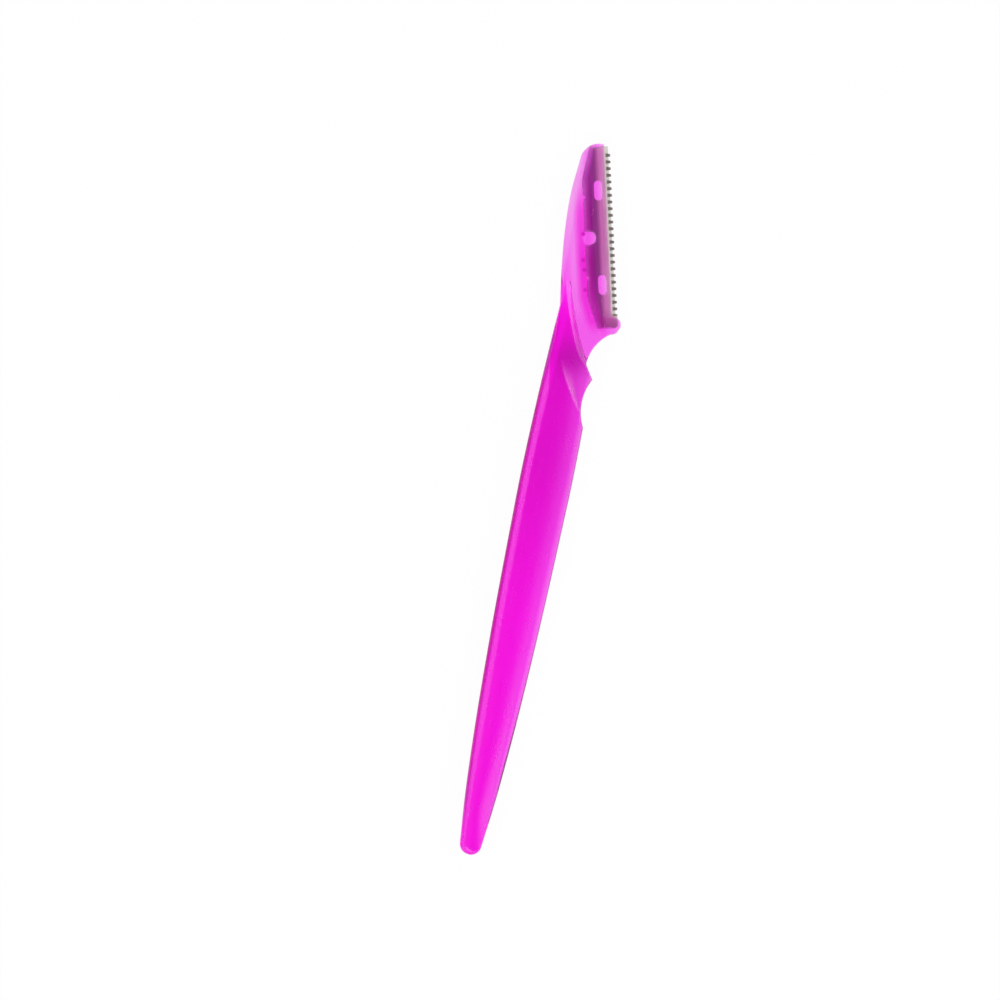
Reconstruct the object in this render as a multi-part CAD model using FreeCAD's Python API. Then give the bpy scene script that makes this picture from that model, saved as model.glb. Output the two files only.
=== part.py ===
import FreeCAD, Part
import math
import os

# Eyebrow razor: a tapered plastic handle whose thin head is moulded around a slim steel blade.
# A folded, slotted steel foil guards the cutting edge. All lengths are in millimetres.

V = FreeCAD.Vector

# Handle, measured from its tail along the middle line
handle_length = 115.5
handle_width = 10.9
handle_thickness = 4.6
side_height = 2.4
spine_bevel = 2.1
edge_bevel = 2.8
tail_radius = 2.3
tail_bevel = 1.0

# The handle's half width along its length, as shares of the length and of the greatest half width
handle_side_shares = (
    (0.095, 0.580),
    (0.196, 0.722),
    (0.390, 0.888),
    (0.600, 0.978),
    (0.690, 1.000),
    (0.788, 0.978),
    (0.883, 0.930),
    (1.000, 0.835),
)

# The thick handle ends in a slanting step, from a point on the spine to a spike on the edge side
step_tip_rise = 6.5
step_tip_share = 0.715
spike_drop = 13.9
spike_share = 0.955
step_hollow = 1.05
step_draft = 0.35
ramp_length = 15.6

# Finger bite in the edge side below the spike, and the thumb dish on each face beside it
bite_length = 9.9
bite_depth = 1.2
dish_depth = 1.1
dish_tube = 4.0
dish_sweep = 70.0
dish_drop = 4.4
dish_side_share = 0.95
dish_turn = 36.0

# Head: a thin web with a thicker pad around the blade
web_thickness = 1.5
rim_thickness = 0.8
rim_width = 2.4
pad_thickness = 2.5
pad_low_margin = 0.8
pad_corner = 0.45
pad_slope = 0.45
pad_hollow = 1.75
spine_hollow = 1.15
spine_shares = ((0.25, 0.64), (0.50, 1.00), (0.75, 0.86))
tip_cover = 0.45
tip_drop = 2.0
tip_hollow = 1.1
tip_bevel = 1.0
tip_inner_share = 0.3
tip_back_share = 1.02
lip_thickness = 0.9
lip_width = 4.3
mark_gap = 1.36
boss_gap = 1.8

# Where the lower end of the cutting edge sits, from the handle's middle line and from its top end
heel_side = 8.25
heel_drop = 2.28
blade_lean = 14.33

# Foot below the cutting edge, and the finger notch under it
foot_rise = 2.7
foot_shoulder = 0.75
foot_proud = 0.6
foot_length = 2.45
foot_round = 0.3
foot_under_drop = 0.75
foot_under_width = 1.6
foot_cover = 1.1
foot_thickness = 1.4
notch_hollow = 0.95
notch_root_share = 0.15
notch_sink_share = 0.6

# Blade
blade_length = 37.8
blade_width = 5.6
blade_thickness = 0.25
edge_thickness = 0.02
grind_width = 0.85
clip_length = 6.5
clip_width = 1.75
slot_length = 4.15
slot_width = 1.74
slot_spacing = 19.6
slot_to_tips = 2.87
notch_diameter = 2.9
notch_inset = 0.85
nick_diameter = 0.9
nick_spacing = 17.0

# Skin guard
foil_thickness = 0.12
wing_width = 3.5
tooth_stand = 0.4
tooth_pitch = 1.3875
tooth_tip_share = 0.34
tooth_root_share = 0.56
tooth_depth = 1.05
tooth_rise = 3.32
tooth_count = 24
guard_end_gap = 0.3
lip_to_tips = 1.2

# Length by which every cutting body overruns the part
overrun = 6.0

half_handle = handle_thickness / 2
half_width = handle_width / 2
half_web = web_thickness / 2
half_pad = pad_thickness / 2
half_blade = blade_thickness / 2
half_guard = half_blade + foil_thickness
half_length = blade_length / 2
blade_reach = tooth_stand + blade_width
slot_rises = (-slot_spacing / 2, slot_spacing / 2)

lean = math.radians(blade_lean)
along = V(-math.sin(lean), math.cos(lean), 0)
outward = V(math.cos(lean), math.sin(lean), 0)
up = V(0, 0, 1)
heel = V(heel_side, handle_length - heel_drop, 0)
blade_middle = heel + along * half_length

step_tip = V(-half_width * step_tip_share, handle_length + step_tip_rise, 0)
spike = V(half_width * spike_share, handle_length - spike_drop, 0)
step_run = (step_tip - spike).normalize()
step_back = up.cross(step_run)


def at_blade(rise, reach, height=0):
    """Point along the blade from its middle, outward from the tooth tips and above the middle plane."""
    return blade_middle + along * rise + outward * reach + up * height


def line(start, end):
    return Part.makeLine(start, end)


def bowed(start, end, bow):
    """Arc from start to end whose middle lies off the chord by bow, to the left when positive."""
    chord = end - start
    side = up.cross(chord)
    side.normalize()
    middle = (start + end) / 2 + side * bow
    return Part.Arc(start, middle, end).toShape()


def smooth(points):
    curve = Part.BSplineCurve()
    curve.interpolate(points)
    return curve.toShape()


def prism(edges, half_height):
    """Upright body on a closed outline, as far above the middle plane as below it."""
    wire = Part.Wire(edges)
    wire.translate(-up * half_height)
    return Part.Face(wire).extrude(up * (half_height + half_height))


def polygon(points):
    return Part.makePolygon(list(points) + [points[0]])


def both_faces(body):
    """The body and its mirror image below the middle plane."""
    return body.fuse(body.mirror(V(0, 0, 0), up))


def obround(middle, half_height, length, width):
    """Round-ended body whose long axis lies along the blade."""
    reach = along * ((length - width) / 2)
    side = outward * (width / 2)
    end = along * (width / 2)
    top = middle + reach
    bottom = middle - reach
    edges = [
        Part.Arc(top + side, top + end, top - side).toShape(),
        line(top - side, bottom - side),
        Part.Arc(bottom - side, bottom - end, bottom + side).toShape(),
        line(bottom + side, top + side),
    ]
    return prism(edges, half_height)


def handle_outline(spine_inset, edge_inset, tail_inset, height):
    """Outline of the tapered handle at one height, drawn in by insets that shrink with its width."""
    sides = []
    for direction, inset in ((1, edge_inset), (-1, spine_inset)):
        reach = (half_width - inset) / half_width
        side = [V(direction * tail_radius * reach, tail_radius, height)]
        for length_share, width_share in handle_side_shares:
            spread = direction * half_width * width_share * reach
            side.append(V(spread, handle_length * length_share, height))
        top = handle_length + step_tip_rise + overrun
        side.append(V(direction * half_width * step_tip_share * reach, top, height))
        sides.append(side)
    right, left = sides
    tail = (right[0] + left[0]) / 2
    tail.y = tail_inset
    edges = [
        Part.Arc(left[0], tail, right[0]).toShape(),
        smooth(right),
        line(right[-1], left[-1]),
        smooth(left[::-1]),
    ]
    return Part.Wire(edges)


def step_cutter():
    """Body over the head side of the slanting step, drafted so that the step leans back."""
    levels = []
    for height in (0, half_handle + overrun):
        lift = up * height + step_back * (step_draft * height / half_handle)
        start = spike - step_run * overrun + lift
        end = step_tip + step_run * overrun + lift
        far = -step_back * (handle_width + overrun)
        edges = [
            line(start, spike + lift),
            bowed(spike + lift, step_tip + lift, step_hollow),
            line(step_tip + lift, end),
            line(end, end + far),
            line(end + far, start + far),
            line(start + far, start),
        ]
        levels.append(Part.Wire(edges))
    return both_faces(Part.makeLoft(levels, True, True))


def ramp_cutter():
    """Wedge that thins the handle from its full thickness down to the web at the point on the spine."""
    top = step_tip.y
    low = top - ramp_length
    side = V(-half_width - overrun, 0, 0)
    slope = (half_handle - half_web) / ramp_length
    end = top + overrun
    profile = [
        side + V(0, low, half_handle),
        side + V(0, end, half_web - slope * overrun),
        side + V(0, end, half_handle + overrun),
        side + V(0, low, half_handle + overrun),
    ]
    return both_faces(Part.Face(polygon(profile)).extrude(-side - side))


def bite_cutter():
    """Upright cylinder that hollows the edge side between the spike and the straight of the handle."""
    half_chord = bite_length / 2
    radius = (half_chord * half_chord + bite_depth * bite_depth) / (bite_depth + bite_depth)
    middle = V(spike.x + radius - bite_depth, spike.y - half_chord, -half_handle - overrun)
    return Part.makeCylinder(radius, handle_thickness + overrun + overrun, middle, up)


def dish_cutter():
    """Ring that dips into each face beside the bite and leaves a long oval dish."""
    turn = math.radians(dish_turn)
    axis = V(math.cos(turn), math.sin(turn), 0)
    height = half_handle - dish_depth + dish_tube + dish_sweep
    middle = V(half_width * dish_side_share, spike.y - dish_drop, height)
    return both_faces(Part.makeTorus(dish_sweep, dish_tube, middle, axis))


def handle_body():
    levels = [
        handle_outline(spine_bevel, edge_bevel, tail_bevel, -half_handle),
        handle_outline(0, 0, 0, -side_height / 2),
        handle_outline(0, 0, 0, side_height / 2),
        handle_outline(spine_bevel, edge_bevel, tail_bevel, half_handle),
    ]
    body = Part.makeLoft(levels, True, True)
    for cutter in (step_cutter(), ramp_cutter(), bite_cutter(), dish_cutter()):
        body = body.cut(cutter)
    return body


def head_outline(spine_inset, tip_inset, tip_bow):
    """Edges of the head seen from the front: spine, round tip, straight lip, foot and finger notch."""
    neck = V(spine_inset - half_width * handle_side_shares[-1][1], handle_length, 0)
    tip_back = at_blade(half_length - tip_drop - tip_inset, spine_inset - blade_reach * tip_back_share)
    tip_front = at_blade(half_length + tip_cover - tip_inset, -lip_to_tips)
    chord = tip_back - neck
    side = up.cross(chord)
    side.normalize()
    spine = [neck]
    for length_share, hollow_share in spine_shares:
        spine.append(neck + chord * length_share + side * (spine_hollow * hollow_share))
    spine.append(tip_back)
    lip_end = at_blade(foot_rise - half_length, -lip_to_tips)
    foot_start = foot_rise - half_length - foot_shoulder
    foot_top = at_blade(foot_start, 0)
    foot_end = foot_start - foot_length
    foot_low = at_blade(foot_end, 0)
    notch_top = at_blade(foot_end - foot_under_drop, -foot_under_width)
    notch_root = spike + (step_tip - spike) * notch_root_share
    notch_root += step_back * (step_hollow * notch_sink_share)
    inner = V(0, spike.y, 0)
    low_side = V(neck.x / 2, spike.y, 0)
    return [
        smooth(spine),
        bowed(tip_back, tip_front, tip_bow),
        line(tip_front, lip_end),
        line(lip_end, foot_top),
        bowed(foot_top, foot_low, foot_proud),
        bowed(foot_low, notch_top, foot_round),
        bowed(notch_top, notch_root, -notch_hollow),
        line(notch_root, inner),
        line(inner, low_side),
        line(low_side, neck),
    ]


def web():
    """Thin plate of the head, bevelled on both faces down to a thin rim along the spine and the tip."""
    levels = []
    for height in (-half_web, -rim_thickness / 2, rim_thickness / 2, half_web):
        rim = abs(height) < half_web
        inner = (0, 0, tip_hollow) if rim else (rim_width, tip_bevel, tip_hollow * tip_inner_share)
        wire = Part.Wire(head_outline(*inner))
        wire.translate(up * height)
        levels.append(wire)
    return Part.makeLoft(levels, True, True)


def pad():
    """Thicker part of the head around the blade, with sloping borders, inside the head's outline."""
    back = blade_reach
    low = -half_length - pad_low_margin
    high = half_length
    levels = []
    for height, inset in ((-half_pad, pad_slope), (-half_web, 0), (half_web, 0), (half_pad, pad_slope)):
        lift = up * height
        high_back = at_blade(high - clip_width - inset, pad_slope - back) + lift + outward * inset
        low_back = at_blade(low + clip_width + inset, -back) + lift + outward * inset
        low_front = at_blade(low + inset, clip_width - back) + lift + outward * inset
        low_end = at_blade(low + inset, foot_cover) + lift
        high_end = at_blade(high - inset, foot_cover) + lift
        high_front = at_blade(high - inset, clip_width - back) + lift + outward * inset
        edges = [
            bowed(high_back, low_back, -pad_hollow),
            bowed(low_back, low_front, -pad_corner),
            line(low_front, low_end),
            line(low_end, high_end),
            line(high_end, high_front),
            line(high_front, high_back),
        ]
        levels.append(Part.Wire(edges))
    return Part.makeLoft(levels, True, True).common(prism(head_outline(0, 0, tip_hollow), half_pad))


def lip_cutter(bottom, top, edge_thickness):
    """Wedge that thins one stretch of the pad from its crease down to the thickness above the lip's line."""
    crease = -lip_to_tips - lip_width
    slope = (half_pad - edge_thickness / 2) / lip_width
    end = overrun - lip_to_tips
    profile = [
        at_blade(bottom, crease, half_pad),
        at_blade(bottom, end, edge_thickness / 2 - slope * overrun),
        at_blade(bottom, end, half_pad + overrun),
        at_blade(bottom, crease, half_pad + overrun),
    ]
    return both_faces(Part.Face(polygon(profile)).extrude(along * (top - bottom)))


def pin_marks():
    """Shallow marks over the slots and the round notch, left by the pins that held the blade."""
    marks = []
    for rise in slot_rises:
        middle = at_blade(rise, -slot_to_tips, half_pad)
        marks.append(obround(middle, half_pad - mark_gap / 2, slot_length, slot_width))
    foot = at_blade(0, notch_inset - blade_reach, boss_gap / 2)
    marks.append(Part.makeCylinder(notch_diameter / 2, half_pad, foot, up))
    return both_faces(Part.makeCompound(marks))


def make_blade():
    """Steel strip with clipped back corners, two slots, back notches and a ground edge."""
    edge = -tooth_stand
    back = -blade_reach
    outline = [
        at_blade(half_length, edge),
        at_blade(half_length, back + clip_width),
        at_blade(half_length - clip_length, back),
        at_blade(clip_length - half_length, back),
        at_blade(-half_length, back + clip_width),
        at_blade(-half_length, edge),
    ]
    strip = prism(polygon(outline).Edges, half_blade)
    for rise in slot_rises:
        middle = at_blade(rise, -slot_to_tips)
        strip = strip.cut(obround(middle, blade_thickness, slot_length, slot_width))
    notches = (
        (0, back + notch_inset, notch_diameter),
        (-nick_spacing / 2, back, nick_diameter),
        (nick_spacing / 2, back, nick_diameter),
    )
    for rise, reach, diameter in notches:
        foot = at_blade(rise, reach, -blade_thickness)
        strip = strip.cut(Part.makeCylinder(diameter / 2, blade_thickness + blade_thickness, foot, up))
    low = -half_length - overrun
    slope = (blade_thickness - edge_thickness) / 2 / grind_width
    end = edge + overrun
    grind = [
        at_blade(low, edge - grind_width, half_blade),
        at_blade(low, end, edge_thickness / 2 - slope * overrun),
        at_blade(low, end, blade_thickness + overrun),
        at_blade(low, edge - grind_width, blade_thickness + overrun),
    ]
    wedge = Part.Face(polygon(grind)).extrude(along * (blade_length + overrun + overrun))
    return strip.cut(wedge).cut(wedge.mirror(V(0, 0, 0), up))


def make_guard():
    """Foil folded round the edge, slotted into a row of tapering teeth, open where the pegs pass."""
    bottom = guard_end_gap - half_length
    length = blade_length - guard_end_gap - guard_end_gap
    bend = -half_guard

    def section(reach, height):
        return at_blade(bottom, reach, height)

    edges = [
        line(section(-wing_width, half_guard), section(bend, half_guard)),
        Part.Arc(section(bend, half_guard), section(0, 0), section(bend, -half_guard)).toShape(),
        line(section(bend, -half_guard), section(-wing_width, -half_guard)),
        line(section(-wing_width, -half_guard), section(-wing_width, -half_blade)),
        line(section(-wing_width, -half_blade), section(bend, -half_blade)),
        Part.Arc(
            section(bend, -half_blade), section(-foil_thickness, 0), section(bend, half_blade)
        ).toShape(),
        line(section(bend, half_blade), section(-wing_width, half_blade)),
        line(section(-wing_width, half_blade), section(-wing_width, half_guard)),
    ]
    guard = Part.Face(Part.Wire(edges)).extrude(along * length)
    root = tooth_pitch * (1 - tooth_root_share) / 2
    tip = tooth_pitch * (1 - tooth_tip_share) / 2
    flare = (tip - root) / tooth_depth * foot_cover
    slots = []
    for index in range(tooth_count + 1):
        middle = tooth_rise - half_length + index * tooth_pitch
        outline = [
            at_blade(middle - root, -tooth_depth),
            at_blade(middle - tip - flare, foot_cover),
            at_blade(middle + tip + flare, foot_cover),
            at_blade(middle + root, -tooth_depth),
        ]
        slots.append(prism(polygon(outline).Edges, half_guard + foil_thickness))
    clear = [
        at_blade(middle, -tooth_depth),
        at_blade(middle, foot_cover),
        at_blade(half_length, foot_cover),
        at_blade(half_length, -tooth_depth),
    ]
    slots.append(prism(polygon(clear).Edges, half_guard + foil_thickness))
    for rise in slot_rises:
        middle = at_blade(rise, -slot_to_tips)
        slots.append(obround(middle, half_guard + foil_thickness, slot_length, slot_width))
    return guard.cut(slots)


def make_handle(blade, guard):
    """The moulding: handle, web and pad in one, moulded around the blade and the guard."""
    moulding = handle_body().fuse([web(), pad()])
    shoulder = foot_rise - half_length
    lip = lip_cutter(shoulder, half_length + overrun, lip_thickness)
    foot = lip_cutter(-half_length - overrun, shoulder, foot_thickness)
    moulding = moulding.cut([lip, foot, pin_marks()])
    return moulding.cut([blade, guard]).removeSplitter()


def seat(shape, shift):
    seated = shape.copy()
    seated.translate(shift)
    return seated


blade = make_blade()
guard = make_guard()
handle = make_handle(blade, guard)
nodes = {"handle": handle, "blade": blade, "skin_guard": guard}

# The origin is the middle of the ground the razor covers, on the face it lies on
limits = Part.makeCompound(list(nodes.values())).optimalBoundingBox(True, False)
ground = V(-limits.Center.x, -limits.Center.y, half_handle)

os.makedirs("parts", exist_ok=True)
for name, shape in nodes.items():
    seat(shape, ground).exportStep("parts/" + name + ".step")
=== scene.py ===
import math

import bpy
import numpy as np
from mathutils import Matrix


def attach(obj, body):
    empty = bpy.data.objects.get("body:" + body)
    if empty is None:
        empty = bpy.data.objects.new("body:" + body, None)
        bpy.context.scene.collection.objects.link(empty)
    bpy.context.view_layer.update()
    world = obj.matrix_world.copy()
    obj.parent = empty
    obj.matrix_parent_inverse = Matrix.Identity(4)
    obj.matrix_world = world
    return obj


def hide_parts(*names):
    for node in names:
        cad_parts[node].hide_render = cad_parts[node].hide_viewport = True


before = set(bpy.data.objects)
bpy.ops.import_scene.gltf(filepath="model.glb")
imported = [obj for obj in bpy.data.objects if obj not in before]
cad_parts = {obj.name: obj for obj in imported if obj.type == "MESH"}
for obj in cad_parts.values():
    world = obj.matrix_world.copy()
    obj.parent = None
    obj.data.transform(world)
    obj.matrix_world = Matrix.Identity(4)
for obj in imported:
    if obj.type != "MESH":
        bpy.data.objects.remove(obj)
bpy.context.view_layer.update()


# Blade: a strip of rolled stainless razor steel, stamped with two slots and its back notches, then ground
# along one side. The plastic is moulded around it, so most of it is seen through the tinted head.
MM_PER_M = 1000
BLADE_LEAN = math.radians(14.33)
# The middle of the guard's tooth tips, across the strip and along it, mm
TIPS_REACH, TIPS_RISE = 16.645, 54.101
# From the tooth tips to the strip's back edge, and where and how steeply its two back corners are clipped, mm
BACK_REACH, CLIP_RISE, CLIP_SLOPE = 6.0, 12.4, 0.27
# Rolling lines per millimetre, across the strip, along it and through it
LINES_PER_MM = (3.3, 0.13, 3.3)
# The colour sockets of a Mix node go by number, because their names repeat
SHARE, FROM, TO = 0, 6, 7


def linear(colour):
    """sRGB hex to linear RGBA: each channel is undone from its sRGB curve."""
    channels = np.array([int(colour[i : i + 2], 16) for i in (1, 3, 5)]) / 255
    straight = np.where(channels <= 0.04045, channels / 12.92, ((channels + 0.055) / 1.055) ** 2.4)
    return (*straight, 1.0)


def add(tree, kind, sockets=None, **settings):
    """One shader node with its settings. A socket gets a value or a link, which comes from an output or from the
    first live output of a node."""
    node = tree.nodes.new(kind)
    for name, value in settings.items():
        setattr(node, name, value)
    for name, value in (sockets or {}).items():
        if isinstance(value, bpy.types.Node):
            value = next(output for output in value.outputs if output.enabled)
        if isinstance(value, bpy.types.NodeSocket):
            tree.links.new(value, node.inputs[name])
        else:
            node.inputs[name].default_value = value
    return node


def blank(name):
    """Empty node material and its tree."""
    material = bpy.data.materials.new(name)
    material.use_nodes = True
    material.node_tree.nodes.clear()
    return material, material.node_tree


def along_strip(tree):
    """Millimetres from the middle of the tooth tips: x outward across the strip, y up along it."""
    place = add(tree, "ShaderNodeTexCoord").outputs["Object"]
    return add(tree, "ShaderNodeMapping", {
        "Vector": place, "Rotation": (0, 0, -BLADE_LEAN), "Scale": (MM_PER_M, MM_PER_M, MM_PER_M),
        "Location": (-TIPS_REACH, -TIPS_RISE, 0)})


# Rolled stainless strip: bright but not polished, with faint rolling lines that run the length of the strip.
# Real lines are a few hundredths of a millimetre apart, too fine to show, so they are drawn about 0.3 mm apart.
rolled_steel, tree = blank("stainless_steel_rolled_strip")
place = along_strip(tree)
split = add(tree, "ShaderNodeSeparateXYZ", {"Vector": place}).outputs
drawn = add(tree, "ShaderNodeMapping", {"Vector": place, "Scale": LINES_PER_MM})
lines = add(tree, "ShaderNodeTexNoise", {"Vector": drawn, "Scale": 1.0, "Detail": 3.0})
spread = add(tree, "ShaderNodeMapRange", {"Value": lines, "From Min": 0.3, "From Max": 0.7})
rolled_tone = add(tree, "ShaderNodeMix", {
    SHARE: spread, FROM: linear("#B4B1B3"), TO: linear("#CCC9CB")}, data_type="RGBA")

# The strip is drawn brighter in a band along its back edge, widest near the foot, and at both its ends.
from_middle = add(tree, "ShaderNodeMath", {0: split["Y"]}, operation="ABSOLUTE")
corner = add(tree, "ShaderNodeMath", {
    0: from_middle, 1: -CLIP_SLOPE, 2: CLIP_SLOPE * CLIP_RISE}, operation="MULTIPLY_ADD")
corner = add(tree, "ShaderNodeMath", {0: corner, 1: 0.0}, operation="MINIMUM")
inset = add(tree, "ShaderNodeMath", {0: split["X"], 1: corner}, operation="ADD")
inset = add(tree, "ShaderNodeMath", {0: inset, 1: BACK_REACH}, operation="ADD")
band = add(tree, "ShaderNodeMapRange", {
    "Value": split["Y"], "From Min": -14.0, "From Max": -8.0, "To Min": 2.2, "To Max": 1.4})
in_band = add(tree, "ShaderNodeMapRange", {
    "Value": inset, "From Min": 0.3, "From Max": band, "To Min": 1.0, "To Max": 0.0})
at_end = add(tree, "ShaderNodeMapRange", {"Value": from_middle, "From Min": 18.2, "From Max": 18.7})
bright = add(tree, "ShaderNodeMath", {0: in_band, 1: at_end}, operation="MAXIMUM")
strip_tone = add(tree, "ShaderNodeMix", {SHARE: bright, FROM: rolled_tone, TO: linear("#FAF8FA")}, data_type="RGBA")
ground = add(tree, "ShaderNodeMapRange", {"Value": split["X"], "From Min": -1.3, "From Max": -1.2})
tone = add(tree, "ShaderNodeMix", {SHARE: ground, FROM: strip_tone, TO: linear("#E6E3E0")}, data_type="RGBA")
gloss = add(tree, "ShaderNodeMapRange", {"Value": lines, "To Min": 0.56, "To Max": 0.68})
relief = add(tree, "ShaderNodeBump", {"Height": lines, "Strength": 0.15, "Distance": 0.00002})
shader = add(tree, "ShaderNodeBsdfPrincipled", {
    "Base Color": tone, "Metallic": 1.0, "Roughness": gloss, "Normal": relief})
add(tree, "ShaderNodeOutputMaterial", {"Surface": shader})

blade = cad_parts["blade"]
blade.data.materials.clear()
blade.data.materials.append(rolled_steel)


# Skin guard: a stainless foil folded over the cutting edge, its fold slotted into a row of short teeth.
# The teeth stand proud of the edge and keep it off the skin; its wings lie under the plastic on both faces.
SATIN_PER_MM = (2.2, 0.26, 2.2)

# Folded foil: paler than the strip, with a fine satin left by the rolls and a slight unevenness from the press.
# The satin of real foil is too fine to show, so it is drawn about 0.5 mm apart.
foil_steel, tree = blank("stainless_steel_folded_foil")
place = along_strip(tree)
split = add(tree, "ShaderNodeSeparateXYZ", {"Vector": place}).outputs
drawn = add(tree, "ShaderNodeMapping", {"Vector": place, "Scale": SATIN_PER_MM})
satin = add(tree, "ShaderNodeTexNoise", {"Vector": drawn, "Scale": 1.0, "Detail": 4.0})
spread = add(tree, "ShaderNodeMapRange", {"Value": satin, "From Min": 0.3, "From Max": 0.7})
foil_tone = add(tree, "ShaderNodeMix", {
    SHARE: spread, FROM: linear("#F6EAE6"), TO: linear("#FFF6F2")}, data_type="RGBA")

# Painted shade: the wings are drawn darker towards their inner rims and by the foot, and the fold is painted dark
# where it is bent and slotted.
wing = add(tree, "ShaderNodeMapRange", {"Value": split["X"], "From Min": -3.7, "From Max": -2.5})
wing_tone = add(tree, "ShaderNodeMix", {SHARE: wing, FROM: linear("#ACA8A8"), TO: foil_tone}, data_type="RGBA")
off_foot = add(tree, "ShaderNodeMapRange", {"Value": split["Y"], "From Min": -18.2, "From Max": -15.0})
wing_tone = add(tree, "ShaderNodeMix", {SHARE: off_foot, FROM: linear("#D6C8C6"), TO: wing_tone}, data_type="RGBA")
bent = add(tree, "ShaderNodeMapRange", {"Value": split["X"], "From Min": -1.15, "From Max": -0.85})
slotted = add(tree, "ShaderNodeMapRange", {"Value": split["Y"], "From Min": -16.6, "From Max": -16.2})
fold_shade = add(tree, "ShaderNodeMath", {0: bent, 1: slotted}, operation="MULTIPLY")
tone = add(tree, "ShaderNodeMix", {SHARE: fold_shade, FROM: wing_tone, TO: linear("#857B78")}, data_type="RGBA")
gloss = add(tree, "ShaderNodeMapRange", {"Value": satin, "To Min": 0.56, "To Max": 0.70})
relief = add(tree, "ShaderNodeBump", {"Height": satin, "Strength": 0.2, "Distance": 0.00002})
shader = add(tree, "ShaderNodeBsdfPrincipled", {
    "Base Color": tone, "Metallic": 1.0, "Roughness": gloss, "Normal": relief})
add(tree, "ShaderNodeOutputMaterial", {"Surface": shader})

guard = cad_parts["skin_guard"]
guard.data.materials.clear()
guard.data.materials.append(foil_steel)


# Handle: one injection moulding in clear magenta polypropylene, from the tapered grip to the thin head around
# the blade. The resin looks pale where it is thin and deep where it is thick, so the half thickness of each face
# is worked out all over. Sizes are in millimetres, from the tail along the grip's middle line.
GRIP_LENGTH, GRIP_HALF_WIDTH, TAIL_RADIUS = 115.5, 5.45, 2.3
SIDE_STATIONS = GRIP_LENGTH * np.array([0.095, 0.196, 0.390, 0.600, 0.690, 0.788, 0.883, 1.000])
SIDE_WIDTHS = GRIP_HALF_WIDTH * np.array([0.580, 0.722, 0.888, 0.978, 1.000, 0.978, 0.930, 0.835])
# The slanting step between grip and head: its point on the spine, its spike on the edge side, and its hollow
STEP_TIP = np.array([-GRIP_HALF_WIDTH * 0.715, GRIP_LENGTH + 6.5])
SPIKE = np.array([GRIP_HALF_WIDTH * 0.955, GRIP_LENGTH - 13.9])
STEP_HOLLOW = 1.05
# The blade's own directions, and the middle of its row of tooth tips
ALONG = np.array([-math.sin(BLADE_LEAN), math.cos(BLADE_LEAN)])
OUTWARD = np.array([math.cos(BLADE_LEAN), math.sin(BLADE_LEAN)])
BLADE_MIDDLE = np.array([8.25, GRIP_LENGTH - 2.28]) + ALONG * 18.9


def at_blade(rise, reach):
    """Point given along the blade from its middle, and outward from the tooth tips."""
    return BLADE_MIDDLE + ALONG * rise + OUTWARD * reach


def circle_of(start, end, bow):
    """Circle whose arc stands off the chord by bow, to the left when positive: its centre and radius."""
    chord = end - start
    length = np.hypot(*chord)
    left = np.array([-chord[1], chord[0]]) / length
    radius = (length * length / 4 + bow * bow) / (2 * bow)
    return (start + end) / 2 + left * (bow - radius), abs(radius)


def arc(start, end, bow, count=40):
    """Points along that arc: the centre plus a radius that turns evenly from start to end."""
    centre, radius = circle_of(start, end, bow)
    angle = 2 * math.asin(np.hypot(*(end - start)) / (2 * radius))
    t = np.linspace(0, 1, count)[:, None]
    turned = (start - centre) * np.sin((1 - t) * angle) + (end - centre) * np.sin(t * angle)
    return centre + turned / math.sin(angle)


def through(x, knots, values):
    """Smooth curve through the knots: cubic Hermite pieces with slopes from the neighbouring knots."""
    slopes = np.gradient(values, knots)
    i = np.clip(np.searchsorted(knots, x) - 1, 0, len(knots) - 2)
    span = knots[i + 1] - knots[i]
    t = (x - knots[i]) / span
    return (values[i] * (1 + 2 * t) * (1 - t) ** 2 + values[i + 1] * t * t * (3 - 2 * t)
            + span * (slopes[i] * t * (1 - t) ** 2 - slopes[i + 1] * t * t * (1 - t)))


def grip_half_width(y):
    """Half width of the grip: a round tail, then a smooth curve through the stations, on under the head."""
    knots = np.concatenate([[TAIL_RADIUS], SIDE_STATIONS, [STEP_TIP[1] + 6.0]])
    widths = np.concatenate([[TAIL_RADIUS], SIDE_WIDTHS, [-STEP_TIP[0]]])
    tail = np.sqrt(np.clip(TAIL_RADIUS**2 - (TAIL_RADIUS - y) ** 2, 0, None))
    return np.where(y < TAIL_RADIUS, tail, through(np.clip(y, TAIL_RADIUS, knots[-1]), knots, widths))


# Outline as two runs that rise from the tail to the tip: the spine side, and the edge side with its thumb bite,
# spike, finger notch, foot and straight lip.
LIP_RISE, LIP_REACH = -16.2, -1.2
NECK = np.array([-SIDE_WIDTHS[-1], GRIP_LENGTH])
TIP_BACK, TIP_FRONT = at_blade(16.9, -6.12), at_blade(19.35, LIP_REACH)
LIP_END, FOOT_TOP = at_blade(LIP_RISE, LIP_REACH), at_blade(-16.95, 0)
FOOT_LOW, NOTCH_TOP = at_blade(-19.4, 0), at_blade(-20.15, -1.6)
SPINE_HOLLOW, TIP_BOW, NOTCH_BOW, FOOT_UNDER_BOW, FOOT_BOW = 1.15, 1.1, 0.95, -0.3, -0.6
NOTCH_ROOT_SHARE, NOTCH_ROOT_SINK = 0.15, 0.63
BITE_LENGTH, BITE_DEPTH = 9.9, 1.2

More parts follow.
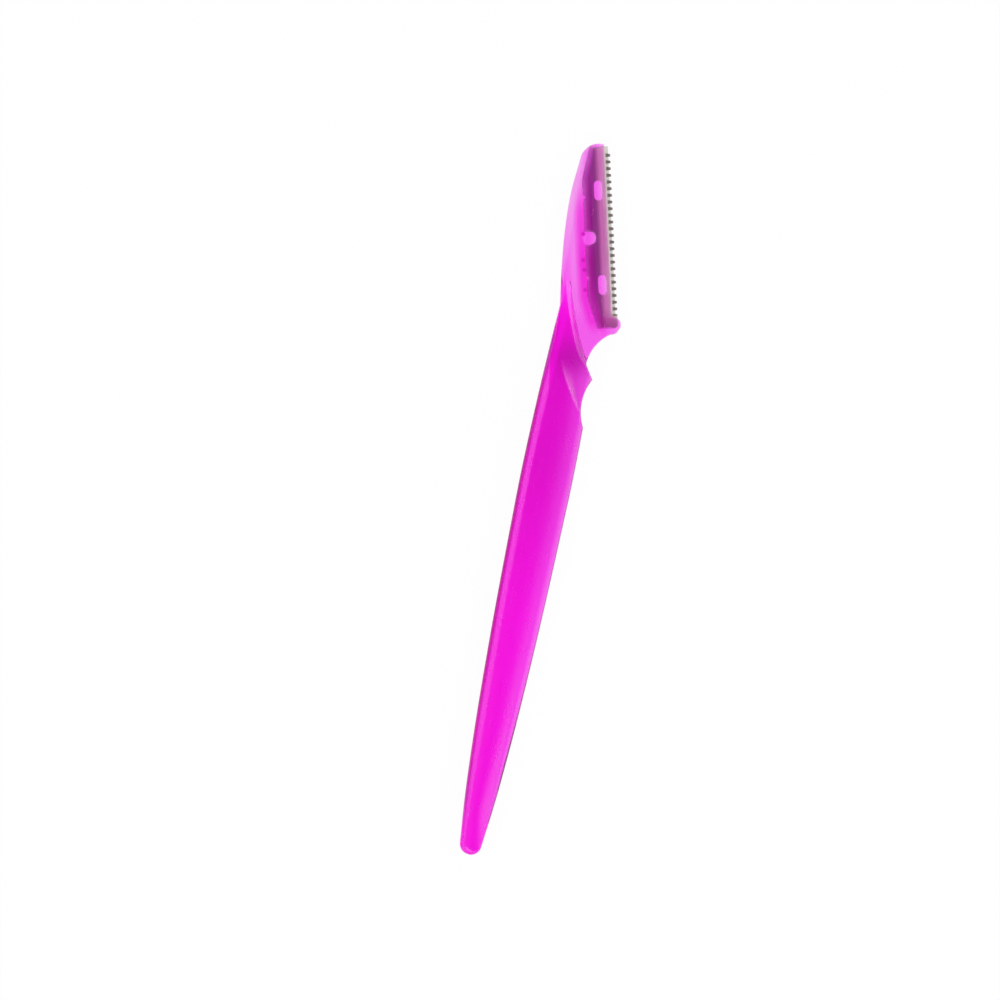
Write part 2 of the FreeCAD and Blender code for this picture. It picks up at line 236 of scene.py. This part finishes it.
chord = TIP_BACK - NECK
up_spine = np.linspace(0, 1, 80)
hollow = SPINE_HOLLOW * through(up_spine, np.array([0, 0.25, 0.5, 0.75, 1]), np.array([0, 0.64, 1, 0.86, 0]))
spine = NECK + up_spine[:, None] * chord + hollow[:, None] * np.array([-chord[1], chord[0]]) / np.hypot(*chord)
tip = arc(TIP_BACK, TIP_FRONT, TIP_BOW, 120)
apex = int(np.argmax(tip[:, 1]))
step = arc(SPIKE, STEP_TIP, STEP_HOLLOW, 200)
step_run = (STEP_TIP - SPIKE) / np.hypot(*(STEP_TIP - SPIKE))
notch_root = SPIKE + (STEP_TIP - SPIKE) * NOTCH_ROOT_SHARE + np.array([-step_run[1], step_run[0]]) * NOTCH_ROOT_SINK
notch = arc(notch_root, NOTCH_TOP, NOTCH_BOW, 60)
meet = int(np.argmin(np.hypot(*(step[:, None] - notch[None]).transpose(2, 0, 1)).min(1)))
climb = np.concatenate([
    TAIL_RADIUS * (1 - np.cos(np.linspace(0, np.pi / 2, 60))), np.linspace(3, GRIP_LENGTH, 451)])
grip_side = np.stack([grip_half_width(climb), climb], 1)
below_spike = climb[climb < SPIKE[1] - 0.1]
bite_middle, bite_radius = circle_of(SPIKE - (0, BITE_LENGTH), SPIKE, BITE_DEPTH)
off_middle = np.abs(below_spike - bite_middle[1])
bite = bite_middle[0] - np.sqrt(np.clip(bite_radius**2 - off_middle**2, 0, None))
unbitten = grip_half_width(below_spike)
bitten = np.where(off_middle < bite_radius, np.minimum(unbitten, bite), unbitten)
spine_side = np.concatenate([(grip_side * (-1, 1))[:-1], spine, tip[1 : apex + 1]])
edge_side = np.concatenate([
    np.stack([bitten, below_spike], 1), step[:meet], notch[notch[:, 1] > step[meet - 1, 1]],
    arc(NOTCH_TOP, FOOT_LOW, FOOT_UNDER_BOW)[1:], arc(FOOT_LOW, FOOT_TOP, FOOT_BOW)[1:],
    [LIP_END, TIP_FRONT], tip[-2 : apex - 1 : -1]])


def ramp(value, start, end):
    """Climbs evenly from 0 at start to 1 at end, and holds beyond both."""
    return np.clip((value - start) / (end - start), 0, 1)


def least(a, b, blend):
    """Smaller of two fields, rounded where they come within blend of each other."""
    near = np.clip(1 - np.abs(a - b) / blend, 0, None)
    return np.minimum(a, b) - near * near * blend / 4


def most(a, b, blend):
    """Larger of two fields, rounded where they come within blend of each other."""
    return -least(-a, -b, blend)


def distance(x, y, path):
    """Distance from each point to a path: the nearest of its straight pieces."""
    nearest = np.full(x.shape, np.inf)
    for (ax, ay), (bx, by) in zip(path[:-1], path[1:]):
        dx, dy = bx - ax, by - ay
        t = np.clip(((x - ax) * dx + (y - ay) * dy) / (dx * dx + dy * dy + 1e-12), 0, 1)
        nearest = np.minimum(nearest, np.hypot(x - ax - t * dx, y - ay - t * dy))
    return nearest


# Grip: half thickness at the facet's crease, at the sides and at the ramp's nose; a pair is where a form starts
# and where it is full, along the grip
HALF_GRIP, HALF_SIDE, HALF_NOSE = 2.3, 1.2, 0.50
SPINE_FACET, FACET_SLOPE, FACET_ENDS = 2.1, 0.44, (108, 98)
CROWN_FALL, CROWN_STARTS = 1.8, (-2, 10)
RAMP_LENGTH, RAMP_CURVE = 15.6, 2.5
NOSE_SOFTENS = (113, 118)
# Thumb dish: the underside of a ring, turned from the grip's line, part of its depth sunk into each face
DISH_TURN, DISH_SIDE, DISH_BELOW_SPIKE = math.radians(36), GRIP_HALF_WIDTH * 0.95, 4.4
DISH_TUBE, DISH_SWEEP, DISH_DEPTH, DISH_SUNK, DISH_FLOOR, DISH_ENDS = 4.0, 70.0, 1.1, 0.5, 1.0, (110, 102)
# Wall of the step: how far it stands proud of its arc, further by the spike, its slope at the nose and lower
# down the ramp, and the narrow sloping edge along the top of the front face's wall
STEP_PROUD, SPIKE_PROUD, SPIKE_STARTS = 0.15, 0.8, (SPIKE[1] + 4.5, SPIKE[1] + 1.5)
WALL_GENTLE, WALL_STEEP, STEEPENS, EDGE_WIDTH, EDGE_SLOPE = 0.8, 8.0, (0.2, 1.2), 0.95, 0.6
# Side wall where the grip runs out on the head: its slope at the nose and lower down, and where it starts
SIDE_GENTLE, SIDE_STEEP, SIDE_OUT, SIDE_FROM = 1, 5, 0.05, GRIP_LENGTH - 4


def half_grip(x, y, edge_slope):
    """Half thickness of the grip, the lowest of these at each place: a crown that falls with the square of the way
    from the spine facet to the edge side, a straight facet along the spine, a curved ramp down to the nose, and a
    wall along the step's arc. The thumb dish and the step's sloping edge are taken off it."""
    width = grip_half_width(y)
    inside = np.where(y < TAIL_RADIUS, TAIL_RADIUS - np.hypot(x, TAIL_RADIUS - y), width - np.abs(x))
    wide = np.maximum(width, TAIL_RADIUS)
    facet = np.minimum(SPINE_FACET, 0.5 * wide) * ramp(y, *FACET_ENDS)
    from_crease = np.clip((x + wide - facet) / (2 * wide - facet), 0, None)
    crown = HALF_GRIP - CROWN_FALL * ramp(y, *CROWN_STARTS) * from_crease**2
    height = least(crown, HALF_GRIP - FACET_SLOPE * (facet - inside), blend=0.05)
    nose = ramp(y, STEP_TIP[1], STEP_TIP[1] - RAMP_LENGTH)
    height = least(height, HALF_NOSE + (HALF_GRIP - HALF_NOSE) * (1 - (1 - nose) ** RAMP_CURVE), blend=0.12)

    off_side, off_spike = x - DISH_SIDE, y - SPIKE[1] + DISH_BELOW_SPIKE
    across = off_side * math.cos(DISH_TURN) + off_spike * math.sin(DISH_TURN)
    run = off_spike * math.cos(DISH_TURN) - off_side * math.sin(DISH_TURN)
    ring = DISH_SWEEP + np.sqrt(np.clip(DISH_TUBE**2 - across**2, 0, None))
    dish = HALF_GRIP - DISH_DEPTH + DISH_TUBE + DISH_SWEEP - np.sqrt(np.clip(ring**2 - run**2, 0, None))
    sunk = np.where(np.abs(across) < DISH_TUBE, most(HALF_GRIP - dish, 0.0, blend=0.06), 0.0)
    height = most(height - DISH_SUNK * sunk * ramp(y, *DISH_ENDS), np.minimum(height, DISH_FLOOR), blend=0.4)

    centre, radius = circle_of(SPIKE, STEP_TIP, STEP_HOLLOW)
    behind = np.hypot(x - centre[0], y - centre[1]) - radius + STEP_PROUD
    behind = behind + SPIKE_PROUD * ramp(y, *SPIKE_STARTS)
    steep = WALL_GENTLE + (WALL_STEEP - WALL_GENTLE) * ramp(3 * nose, *STEEPENS)
    eased = height - edge_slope * np.clip(EDGE_WIDTH - behind, 0, None)
    height = least(eased, HALF_NOSE + behind * steep, blend=0.1)
    side = SIDE_STEEP + (SIDE_GENTLE - SIDE_STEEP) * ramp(y, *NOSE_SOFTENS)
    walled = least(height, HALF_SIDE + (inside + SIDE_OUT) * side, blend=0.2)
    return np.where(y > SIDE_FROM, walled, height)


# Head: half thickness of the pad, the lip, the foot, and the web at its thickest and thinnest
HALF_PAD, HALF_LIP, HALF_FOOT, HALF_WEB, HALF_WEB_TIP = 1.14, 0.45, 0.7, 0.72, 0.36
# Web: how it thins with height from its low end, and how it swells again below the blade
WEB_TAPER, WEB_LOW, WEB_SWELL, WEB_SWELL_FROM, WEB_SWELL_RUN = 0.0135, -18, 0.03, -14, 3
# Pad: the arc of its back, from above to below, in rise and reach; its bottom and top; how wide the step up to it
# is, narrower in the upper part; and the widths of its wedge and of the foot's rise
PAD_HIGH, PAD_LOW, PAD_BOW = np.array([17.15, -5.55]), np.array([-17.95, -6.0]), 1.75
PAD_BOTTOM, PAD_BOTTOM_SLOPE, PAD_TOP = -20.0, 1.2, 18.75
PAD_STEP_OUT, PAD_STEP_IN, PAD_STEP_UPPER, UPPER_PART = -1.3, 0.9, 0.8, (5, 12)
WEDGE_WIDTH, FOOT_RUN = 4.3, 0.6
RIDGE_STARTS, RIDGE_FALL, RIDGE_FALL_UPPER = (-5.1, -6.0), 0.35, 0.2
# Marks over the strip's holes: rise and reach of the middle, radius, half thickness of the floor and its tilt
SLOT_RISE, SLOT_HALF_RUN, SLOT_REACH, SLOT_RADIUS, SLOT_FLOOR, SLOT_TILT = 9.8, 1.205, -2.87, 1.05, 0.66, 0.25
BOSS_REACH, BOSS_RADIUS, BOSS_FLOOR, BOSS_FLOOR_REACH, BOSS_TILT = -5.15, 1.5, 0.90, -5.4, 0.18
NICK_RISE, NICK_REACH, NICK_RADIUS, NICK_FLOOR = 8.5, -5.9, 0.5, 0.75
MARK_WALL, NICK_WALL, MARK_BLEND = 6, 4, 0.06


def half_head(x, y):
    """Half thickness of the head: a web that thins with height, raised by a smooth step to the pad. The pad is the
    lower of a wedge that slopes to the lip and a ridge that falls behind the blade, and each mark is a floor
    with sloping walls that is cut into it."""
    rise = (x - BLADE_MIDDLE[0]) * ALONG[0] + (y - BLADE_MIDDLE[1]) * ALONG[1]
    reach = (x - BLADE_MIDDLE[0]) * OUTWARD[0] + (y - BLADE_MIDDLE[1]) * OUTWARD[1]
    web = np.clip(HALF_WEB - WEB_TAPER * (rise - WEB_LOW), HALF_WEB_TIP, HALF_WEB)
    web = web + WEB_SWELL * np.clip(WEB_SWELL_FROM - rise, 0, WEB_SWELL_RUN)
    centre, radius = circle_of(PAD_HIGH, PAD_LOW, PAD_BOW)
    back = radius - np.hypot(rise - centre[0], reach - centre[1])
    inside = least(back, (rise - PAD_BOTTOM) * PAD_BOTTOM_SLOPE, blend=1.6)
    inside = least(inside, PAD_TOP - rise, blend=0.8)
    upper = ramp(rise, *UPPER_PART)
    slack = np.minimum(CLIP_RISE - np.abs(rise), 0) * CLIP_SLOPE
    raised = ramp(inside, PAD_STEP_OUT + PAD_STEP_UPPER * upper, PAD_STEP_IN)
    edge = HALF_LIP + (HALF_FOOT - HALF_LIP) * ramp(rise, LIP_RISE, LIP_RISE - FOOT_RUN)
    wedge = edge + (HALF_PAD - edge) / WEDGE_WIDTH * (LIP_REACH - reach)
    ridge = HALF_PAD - (RIDGE_FALL + RIDGE_FALL_UPPER * upper) * ramp(reach + slack, *RIDGE_STARTS)
    height = web + (least(wedge, ridge, blend=0.1) - web) * raised * raised * (3 - 2 * raised)
    height = least(height, wedge, blend=0.1)

    off_slot = np.hypot(np.clip(np.abs(np.abs(rise) - SLOT_RISE) - SLOT_HALF_RUN, 0, None), reach - SLOT_REACH)
    off_boss = np.hypot(rise, reach - BOSS_REACH)
    off_nick = np.hypot(np.abs(rise) - NICK_RISE, reach - NICK_REACH)
    slot_floor = SLOT_FLOOR - SLOT_TILT * (reach - SLOT_REACH)
    boss_floor = BOSS_FLOOR - BOSS_TILT * (reach - BOSS_FLOOR_REACH)
    height = least(height, slot_floor + np.clip(off_slot - SLOT_RADIUS, 0, None) * MARK_WALL, MARK_BLEND)
    height = least(height, boss_floor + np.clip(off_boss - BOSS_RADIUS, 0, None) * MARK_WALL, MARK_BLEND)
    return least(height, NICK_FLOOR + np.clip(off_nick - NICK_RADIUS, 0, None) * NICK_WALL, MARK_BLEND)


# The surface is a grid: rows climb from tail to tip, closer together from below the thumb dish on, and columns
# cross from spine to edge and crowd at both borders.
TAIL_ROWS, GRIP_ROWS, HEAD_ROWS, TIP_ROWS, INNER_COLUMNS = 16, 80, 380, 22, 72
BORDER_COLUMNS = np.array([0.02, 0.035, 0.07, 0.13, 0.21, 0.32, 0.46])
FINE_FROM, TIP_DEPTH, FULL_BORDER = 88, 1.4, 3.0
TAIL_TURN, TIP_TURN = 0.12, 1.52
top = tip[apex, 1]
tip_start = top - TIP_DEPTH
rows = np.concatenate([
    TAIL_RADIUS * (1 - np.cos(np.linspace(TAIL_TURN, np.pi / 2, TAIL_ROWS))),
    np.linspace(TAIL_RADIUS, FINE_FROM, GRIP_ROWS)[1:], np.linspace(FINE_FROM, tip_start, HEAD_ROWS)[1:],
    top - (top - tip_start) * (1 - np.sin(np.linspace(0, TIP_TURN, TIP_ROWS)[1:]))])
left = np.interp(rows, spine_side[:, 1], spine_side[:, 0])
right = np.interp(rows, edge_side[:, 1], edge_side[:, 0])
span = right - left
border = BORDER_COLUMNS * ramp(span, 0, FULL_BORDER)[:, None]
inner = np.linspace(0, 1, INNER_COLUMNS)[1:-1] * (span - 2 * border[:, -1])[:, None] + border[:, -1:]
x = left[:, None] + np.concatenate([border, inner, span[:, None] - border[:, ::-1]], 1)
y = np.broadcast_to(rows[:, None], x.shape)

# Each face takes the thicker of grip and head, and a quarter ellipse rounds it off at the outline, wider and
# deeper along the grip's spine. The front alone has the sloping edge along the step.
ROUND_OFF, ROUND_SHARE, SPINE_ROUND, SPINE_SHARE, SPINE_ENDS = 0.36, 0.55, 1.1, 0.5, (114, 108)
HEAD_STARTS, JOIN, NOSE_JOIN = (SPIKE[1] + 0.5, SPIKE[1] + 3.0), 0.25, 0.80
head = half_head(x, y) * ramp(y, *HEAD_STARTS)
edge_gap = distance(x, y, np.concatenate([spine_side, edge_side[::-1]]))
on_spine = ramp(y, *SPINE_ENDS) * (x < 0)
join = JOIN + (NOSE_JOIN - JOIN) * ramp(y, *NOSE_SOFTENS)
faces = []
for edge_slope, turned in ((EDGE_SLOPE, 1), (0.0, -1)):
    grip = half_grip(x, y, edge_slope)
    height = most(grip, head, join)
    plain = np.minimum(ROUND_OFF, ROUND_SHARE * height) * (1 - on_spine)
    round_off = plain + SPINE_ROUND * np.clip(span / 10, 0.4, 1)[:, None] * on_spine
    drop = plain + SPINE_SHARE * height * on_spine
    height = height - drop * (1 - np.sqrt(1 - ramp(edge_gap, round_off, 0) ** 2))
    faces.append(np.stack([x, y, turned * height], -1).reshape(-1, 3))

# Painted shade: the tint is drawn deeper where the thick crown and the neck would pass less stray light, and along
# the rounded spine edge, where light turns inward. On the crown it grows up the grip, eases again at the neck and
# thins out to the edge side. The specks of unmixed colour below deepen it too.
CROWN_SHADE, OFF_FACET, CROWN_GROWS = 0.25, (1.8, 2.4), (50, 82)
CROWN_EASES, CROWN_EASED, EDGE_EASES, EDGE_EASED = (119, 105), 0.3, (7.5, 1.5), 0.4
NECK_SHADE, NECK_PLACE, NECK_SIZE = 0.33, (0.5, 105.3), (5.0, 3.8)
SPINE_BAND, SHADE_STARTS, GRIP_OVER_HEAD = (1.2, 0.2), (4, 12), (0, 0.4)
up_grip = ramp(y, *CROWN_GROWS) * np.maximum(ramp(y, *CROWN_EASES), CROWN_EASED)
painted_shade_and_specks = CROWN_SHADE * ramp(x + grip_half_width(y), *OFF_FACET) * up_grip
painted_shade_and_specks = painted_shade_and_specks * np.maximum(ramp(x, *EDGE_EASES), EDGE_EASED)
from_neck = ((x - NECK_PLACE[0]) / NECK_SIZE[0]) ** 2 + ((y - NECK_PLACE[1]) / NECK_SIZE[1]) ** 2
painted_shade_and_specks = painted_shade_and_specks + NECK_SHADE * np.exp(-from_neck)
painted_shade_and_specks = np.maximum(painted_shade_and_specks, on_spine * ramp(edge_gap, *SPINE_BAND) * ramp(y, *SHADE_STARTS))
painted_shade_and_specks = painted_shade_and_specks * ramp(grip - head, *GRIP_OVER_HEAD)

# Painted shade of the blade within the resin: the colour is drawn richer beside the blade's back, by a strength for
# each rise along it, but not over the round notch. A few specks of unmixed colour go into it as well.
BLADE_SHADE_RISES, BLADE_SHADE_STRENGTHS = [-20.5, -17.5, -5, 0, 6, 11], [0, 0.7, 0.82, 0.62, 0.5, 0.1]
BLADE_SHADE_BAND, HEAD_OVER_GRIP, LOW_CORNER = (2.4, 1.0), (0, 0.2), (-18.9, -4.25)
CLEAR_REACH, CLEAR_SIZE, CLEAR_RIM = -4.98, (1.53, 1.28), (1, 1.25)
SPECKS = ((0.95, -6.34), (-4.45, -6.55), (-6.53, -6.43), (-10.69, -6.42))
SPECK_TINT, SPECK_RIM, SPECK_CORE = 0.36, 0.6, 0.2
back_edge = np.stack([at_blade(*p) for p in ((CLIP_RISE, -BACK_REACH), (-CLIP_RISE, -BACK_REACH), LOW_CORNER)])
up_blade = (np.stack([x, y], -1) - BLADE_MIDDLE) @ ALONG
out_blade = (np.stack([x, y], -1) - BLADE_MIDDLE) @ OUTWARD
blade_shade_and_specks = np.interp(up_blade, BLADE_SHADE_RISES, BLADE_SHADE_STRENGTHS) * ramp(distance(x, y, back_edge), *BLADE_SHADE_BAND)
blade_shade_and_specks = blade_shade_and_specks * ramp(np.hypot(up_blade / CLEAR_SIZE[0], (out_blade - CLEAR_REACH) / CLEAR_SIZE[1]), *CLEAR_RIM)
for speck in SPECKS:
    speck_x, speck_y = at_blade(*speck)
    spot = ramp(np.hypot(x - speck_x, y - speck_y), SPECK_RIM, SPECK_CORE)
    blade_shade_and_specks = np.maximum(blade_shade_and_specks, spot)
    painted_shade_and_specks = np.maximum(painted_shade_and_specks, SPECK_TINT * spot)
blade_shade_and_specks = blade_shade_and_specks * ramp(head - grip, *HEAD_OVER_GRIP)

# The two faces meet at a line on the parting plane, and the grid's ends are closed at tail and tip.
outline = np.concatenate([spine_side, edge_side])
middle = (outline.min(0) + outline.max(0)) / 2
parting = np.concatenate([np.stack([left, rows, 0 * rows], 1), np.stack([right, rows, 0 * rows], 1)])
points = (np.concatenate([*faces, parting]) - (*middle, -HALF_GRIP)) / MM_PER_M
front = np.arange(x.size).reshape(x.shape)
rear = front + x.size
spine_line = 2 * x.size + np.arange(len(rows))
edge_line = spine_line + len(rows)


def strip(a, c):
    """Quads between two runs of points, facing the side from which c lies right of a."""
    return np.stack([a[:-1], c[:-1], c[1:], a[1:]], -1).reshape(-1, 4)


quads = np.concatenate([
    np.stack([front[:-1, :-1], front[:-1, 1:], front[1:, 1:], front[1:, :-1]], -1).reshape(-1, 4),
    np.stack([rear[:-1, :-1], rear[1:, :-1], rear[1:, 1:], rear[:-1, 1:]], -1).reshape(-1, 4),
    strip(spine_line, front[:, 0]), strip(rear[:, 0], spine_line),
    strip(front[:, -1], edge_line), strip(edge_line, rear[:, -1]),
    strip(front[0], rear[0]), strip(rear[-1], front[-1])])
corners = np.array([
    (front[0, 0], spine_line[0], rear[0, 0]), (front[0, -1], rear[0, -1], edge_line[0]),
    (front[-1, 0], rear[-1, 0], spine_line[-1]), (front[-1, -1], edge_line[-1], rear[-1, -1])])
mesh = bpy.data.meshes.new("razor_handle")
mesh.from_pydata(points.tolist(), [], quads.tolist() + corners.tolist())
mesh.shade_smooth()
for name, field in (("painted_shade_and_specks", painted_shade_and_specks), ("blade_shade_and_specks", blade_shade_and_specks)):
    values = np.concatenate([field.ravel(), field.ravel(), field[:, 0], field[:, -1]])
    mesh.attributes.new(name, "FLOAT", "POINT").data.foreach_set("value", values)
razor_handle = bpy.data.objects.new("razor_handle", mesh)
bpy.context.scene.collection.objects.link(razor_handle)

# Clear polypropylene tinted magenta, moulded: a soft gloss with a faint ripple about 1 mm across, drawn out along
# the flow, and a colour that deepens with every millimetre of resin the light passes.
RIPPLES_PER_M = (900, 220, 900)
resin, tree = blank("polypropylene_tinted_moulded")
place = add(tree, "ShaderNodeTexCoord").outputs["Object"]
flow = add(tree, "ShaderNodeMapping", {"Vector": place, "Scale": RIPPLES_PER_M})
ripple = add(tree, "ShaderNodeTexNoise", {"Vector": flow, "Scale": 1.0, "Detail": 2.0})
# Painted shade of the blade within the resin, with the specks of unmixed colour, turns the clear white tint
# magenta.
blade_shade_and_specks_share = add(tree, "ShaderNodeAttribute", attribute_name="blade_shade_and_specks").outputs["Fac"]
tint = add(tree, "ShaderNodeMix", {SHARE: blade_shade_and_specks_share, FROM: linear("#FFFFFF"), TO: linear("#FA28E8")}, data_type="RGBA")
# Painted shade on the crown, neck and spine edge, with the specks of unmixed colour, darkens the tint towards deep
# magenta.
shade_and_specks_share = add(tree, "ShaderNodeAttribute", attribute_name="painted_shade_and_specks").outputs["Fac"]
tint = add(tree, "ShaderNodeMix", {
    SHARE: shade_and_specks_share, FROM: tint, TO: linear("#9A2C90")}, data_type="RGBA", blend_type="MULTIPLY")
gloss = add(tree, "ShaderNodeMapRange", {"Value": ripple, "To Min": 0.22, "To Max": 0.30})
relief = add(tree, "ShaderNodeBump", {"Height": ripple, "Strength": 0.1, "Distance": 0.00005})
shader = add(tree, "ShaderNodeBsdfPrincipled", {
    "Base Color": tint, "Roughness": gloss, "IOR": 1.49, "Transmission Weight": 1.0, "Normal": relief})
depth = add(tree, "ShaderNodeVolumeAbsorption", {"Color": (0.998, 0.0, 0.960, 1.0), "Density": 1300.0})
add(tree, "ShaderNodeOutputMaterial", {"Surface": shader, "Volume": depth})
mesh.materials.append(resin)
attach(razor_handle, "root")
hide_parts("handle")


# Studio: a plain white floor just under the razor, and a soft sky that is dim overhead, where the camera stands,
# and low on the spine side. One soft box lights the edge side, and a wider one lights the front from the tail end.
FLOOR_REACH, FLOOR_DROP, FLOOR_GLOW = 3.0, 0.0002, 0.96

# Matt white paint, mostly a plain white glow where it is seen, straight or through the razor; the rest of it is
# lit by the lamps and takes the shadow.
white, tree = blank("studio_floor_white")
rays = add(tree, "ShaderNodeLightPath").outputs
seen = add(tree, "ShaderNodeMath", {
    0: rays["Is Camera Ray"], 1: rays["Is Glossy Ray"]}, operation="ADD", use_clamp=True)
seen = add(tree, "ShaderNodeMath", {0: seen, 1: rays["Is Transmission Ray"]}, operation="ADD", use_clamp=True)
glowing = add(tree, "ShaderNodeMath", {0: seen, 1: FLOOR_GLOW}, operation="MULTIPLY")
matt = add(tree, "ShaderNodeBsdfDiffuse", {"Color": linear("#FAFAFA")})
glow = add(tree, "ShaderNodeEmission", {"Color": linear("#FFFFFF"), "Strength": 1.0})
mixed = add(tree, "ShaderNodeMixShader", {0: glowing, 1: matt, 2: glow})
add(tree, "ShaderNodeOutputMaterial", {"Surface": mixed})
mesh = bpy.data.meshes.new("studio_floor")
mesh.from_pydata(
    [(i * FLOOR_REACH, j * FLOOR_REACH, -FLOOR_DROP) for i, j in ((-1, -1), (1, -1), (1, 1), (-1, 1))],
    [], [(0, 1, 2, 3)])
mesh.materials.append(white)
floor = bpy.data.objects.new("studio_floor", mesh)
bpy.context.scene.collection.objects.link(floor)

# The sky is a bright ring between the horizon and the dim top; the camera itself sees plain white.
RING_LEVEL = 1.6
world = bpy.data.worlds.new("studio_sky")
world.use_nodes = True
tree = world.node_tree
tree.nodes.clear()
rays = add(tree, "ShaderNodeLightPath").outputs
way = add(tree, "ShaderNodeTexCoord").outputs["Generated"]
way = add(tree, "ShaderNodeSeparateXYZ", {"Vector": way}).outputs
horizon = add(tree, "ShaderNodeMapRange", {
    "Value": way["X"], "From Min": -0.1, "From Max": 0.5, "To Min": 0.08, "To Max": 0.8})
rising = add(tree, "ShaderNodeMapRange", {
    "Value": way["Z"], "From Min": 0.30, "From Max": 0.60, "To Min": horizon, "To Max": 1.0})
fading = add(tree, "ShaderNodeMapRange", {
    "Value": way["Z"], "From Min": 0.68, "From Max": 0.84, "To Min": 1.0, "To Max": 0.0})
ring = add(tree, "ShaderNodeMath", {0: fading, 1: rising}, operation="MULTIPLY")
ring = add(tree, "ShaderNodeMath", {0: ring, 1: RING_LEVEL}, operation="MULTIPLY")
level = add(tree, "ShaderNodeMath", {0: ring, 1: rays["Is Camera Ray"]}, operation="MAXIMUM")
sky = add(tree, "ShaderNodeBackground", {"Color": linear("#FFFFFF"), "Strength": level})
add(tree, "ShaderNodeOutputWorld", {"Surface": sky})
bpy.context.scene.world = world


def soft_box(name, place, size, power):
    """Square soft light at a place, facing the origin."""
    lamp = bpy.data.lights.new(name, "AREA")
    lamp.size, lamp.energy = size, power
    made = bpy.data.objects.new(name, lamp)
    made.location = place
    made.rotation_euler = (-made.location).to_track_quat("-Z", "Y").to_euler()
    bpy.context.scene.collection.objects.link(made)


soft_box("soft_box_edge_side", (0.80, 0.46, 0.52), size=0.35, power=1.1)
soft_box("soft_box_overhead", (-0.10, -0.53, 1.00), size=0.50, power=3.8)

# Camera straight above, turned so that the razor leans in the frame. A metre away, at the razor's middle plane, the
# frame spans 207.6 mm.
SENSOR, FRAME_SPAN = 36.0, 0.2076
lens = bpy.data.cameras.new("camera")
lens.sensor_width, lens.lens = SENSOR, SENSOR / FRAME_SPAN
camera = bpy.data.objects.new("camera", lens)
camera.location = (-0.00935, -0.00169, 1.0023)
camera.rotation_euler = (0, 0, math.radians(11.7))
bpy.context.scene.collection.objects.link(camera)
bpy.context.scene.camera = camera
bpy.context.scene.view_settings.view_transform = "Standard"
